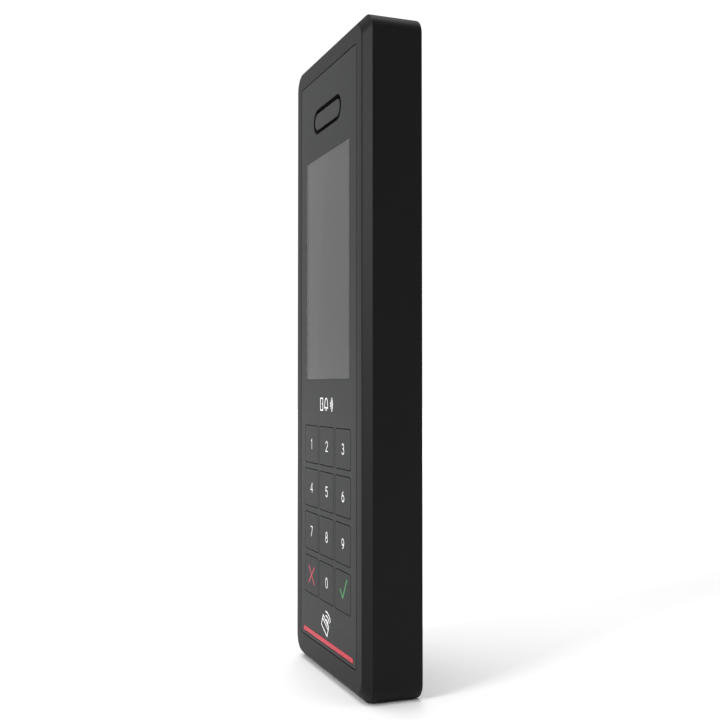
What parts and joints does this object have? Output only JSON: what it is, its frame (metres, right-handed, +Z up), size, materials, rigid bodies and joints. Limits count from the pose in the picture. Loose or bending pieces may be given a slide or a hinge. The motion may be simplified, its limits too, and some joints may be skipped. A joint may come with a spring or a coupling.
{
  "type": "door entry terminal",
  "caption": "Tall slim wall-mounted door-entry terminal with a portrait screen, camera window in a pill groove, number keypad, card reader zone and red light bar.",
  "frame": {"origin": "centre of the four wall-screw holes, on the wall plane at the back of the bracket", "axes": "+Z up the height of the terminal, +Y into the wall, so the keypad and screen face -Y; +X to the right as the user sees it"},
  "size_m": [0.1014, 0.028, 0.3076],
  "materials": {
    "housing_plastic": "moulded, fine satin texture",
    "cover_plastic": "moulded, fine texture",
    "panel_plastic": "moulded, satin",
    "window_clear": "clear hard-coated",
    "display_face": "polariser film, unlit",
    "island_plastic": "smoked, satin",
    "holder_plastic": "moulded black",
    "key_plastic": "moulded, satin",
    "red_diffuser": "translucent red",
    "circuit_board": "green solder mask",
    "lamp_resin": "moulded resin",
    "speaker_plastic": "moulded black",
    "foam": "closed-cell foam",
    "silicone": "moulded silicone",
    "chip_resin": "moulded epoxy",
    "ferrite": "dull sheet",
    "aluminium_can": "drawn can",
    "relay_case": "moulded blue",
    "socket_plastic": "moulded ivory",
    "flex_film": "amber polyimide film",
    "terminal_plastic": "moulded green",
    "plunger_plastic": "moulded natural",
    "steel": "pressed sheet",
    "zinc_steel": "zinc-plated sheet",
    "screw_steel": "zinc-plated"
  },
  "bodies": {
    "root": {"front_housing": "housing_plastic", "rear_cover": "cover_plastic", "front_panel": "panel_plastic", "display_window": "window_clear", "display_glass": "display_face", "display_backlight": "steel", "display_frame": "steel", "camera_window": "island_plastic", "camera_holder": "holder_plastic", "camera_board": "circuit_board", "camera_module": "holder_plastic", "camera_lamps": "lamp_resin", "loudspeaker": "speaker_plastic", "speaker_gasket": "foam", "microphone": "steel", "microphone_boot": "silicone", "keypad_mat": "silicone", "key_switches": "chip_resin", "keypad_board": "circuit_board", "light_bar": "red_diffuser", "light_bar_lamps": "lamp_resin", "light_bar_board": "circuit_board", "antenna_spacer": "foam", "reader_antenna": "circuit_board", "ferrite_sheet": "ferrite", "main_board": "circuit_board", "processor_shield": "steel", "board_chips": "chip_resin", "capacitors": "aluminium_can", "relay": "relay_case", "board_sockets": "socket_plastic", "display_cable": "flex_film", "terminal_block": "terminal_plastic", "network_socket": "steel", "tamper_switch": "chip_resin", "rear_seal": "silicone", "entry_seal": "foam", "panel_gasket": "foam", "wall_bracket": "zinc_steel", "security_screw": "screw_steel", "camera_screws": "screw_steel", "display_screws": "screw_steel", "keypad_screws": "screw_steel", "board_screws": "screw_steel", "cover_screws": "screw_steel"},
    "key_1_body": {"key_1": "key_plastic"},
    "key_2_body": {"key_2": "key_plastic"},
    "key_3_body": {"key_3": "key_plastic"},
    "key_4_body": {"key_4": "key_plastic"},
    "key_5_body": {"key_5": "key_plastic"},
    "key_6_body": {"key_6": "key_plastic"},
    "key_7_body": {"key_7": "key_plastic"},
    "key_8_body": {"key_8": "key_plastic"},
    "key_9_body": {"key_9": "key_plastic"},
    "key_cancel_body": {"key_cancel": "key_plastic"},
    "key_0_body": {"key_0": "key_plastic"},
    "key_confirm_body": {"key_confirm": "key_plastic"},
    "tamper_body": {"tamper_plunger": "plunger_plastic"}
  },
  "joints": [
    {"name": "key_1_press", "type": "slide", "parent": "root", "child": "key_1_body", "axis": [0, 1, 0], "range_m": [0, 0.0008], "stiffness_N_per_m": 1200, "springref_m": -0.001},
    {"name": "key_2_press", "type": "slide", "parent": "root", "child": "key_2_body", "axis": [0, 1, 0], "range_m": [0, 0.0008], "stiffness_N_per_m": 1200, "springref_m": -0.001},
    {"name": "key_3_press", "type": "slide", "parent": "root", "child": "key_3_body", "axis": [0, 1, 0], "range_m": [0, 0.0008], "stiffness_N_per_m": 1200, "springref_m": -0.001},
    {"name": "key_4_press", "type": "slide", "parent": "root", "child": "key_4_body", "axis": [0, 1, 0], "range_m": [0, 0.0008], "stiffness_N_per_m": 1200, "springref_m": -0.001},
    {"name": "key_5_press", "type": "slide", "parent": "root", "child": "key_5_body", "axis": [0, 1, 0], "range_m": [0, 0.0008], "stiffness_N_per_m": 1200, "springref_m": -0.001},
    {"name": "key_6_press", "type": "slide", "parent": "root", "child": "key_6_body", "axis": [0, 1, 0], "range_m": [0, 0.0008], "stiffness_N_per_m": 1200, "springref_m": -0.001},
    {"name": "key_7_press", "type": "slide", "parent": "root", "child": "key_7_body", "axis": [0, 1, 0], "range_m": [0, 0.0008], "stiffness_N_per_m": 1200, "springref_m": -0.001},
    {"name": "key_8_press", "type": "slide", "parent": "root", "child": "key_8_body", "axis": [0, 1, 0], "range_m": [0, 0.0008], "stiffness_N_per_m": 1200, "springref_m": -0.001},
    {"name": "key_9_press", "type": "slide", "parent": "root", "child": "key_9_body", "axis": [0, 1, 0], "range_m": [0, 0.0008], "stiffness_N_per_m": 1200, "springref_m": -0.001},
    {"name": "key_cancel_press", "type": "slide", "parent": "root", "child": "key_cancel_body", "axis": [0, 1, 0], "range_m": [0, 0.0008], "stiffness_N_per_m": 1200, "springref_m": -0.001},
    {"name": "key_0_press", "type": "slide", "parent": "root", "child": "key_0_body", "axis": [0, 1, 0], "range_m": [0, 0.0008], "stiffness_N_per_m": 1200, "springref_m": -0.001},
    {"name": "key_confirm_press", "type": "slide", "parent": "root", "child": "key_confirm_body", "axis": [0, 1, 0], "range_m": [0, 0.0008], "stiffness_N_per_m": 1200, "springref_m": -0.001},
    {"name": "tamper_press", "type": "slide", "parent": "root", "child": "tamper_body", "axis": [0, -1, 0], "range_m": [0, 0.001], "stiffness_N_per_m": 400, "springref_m": -0.001}
  ]
}
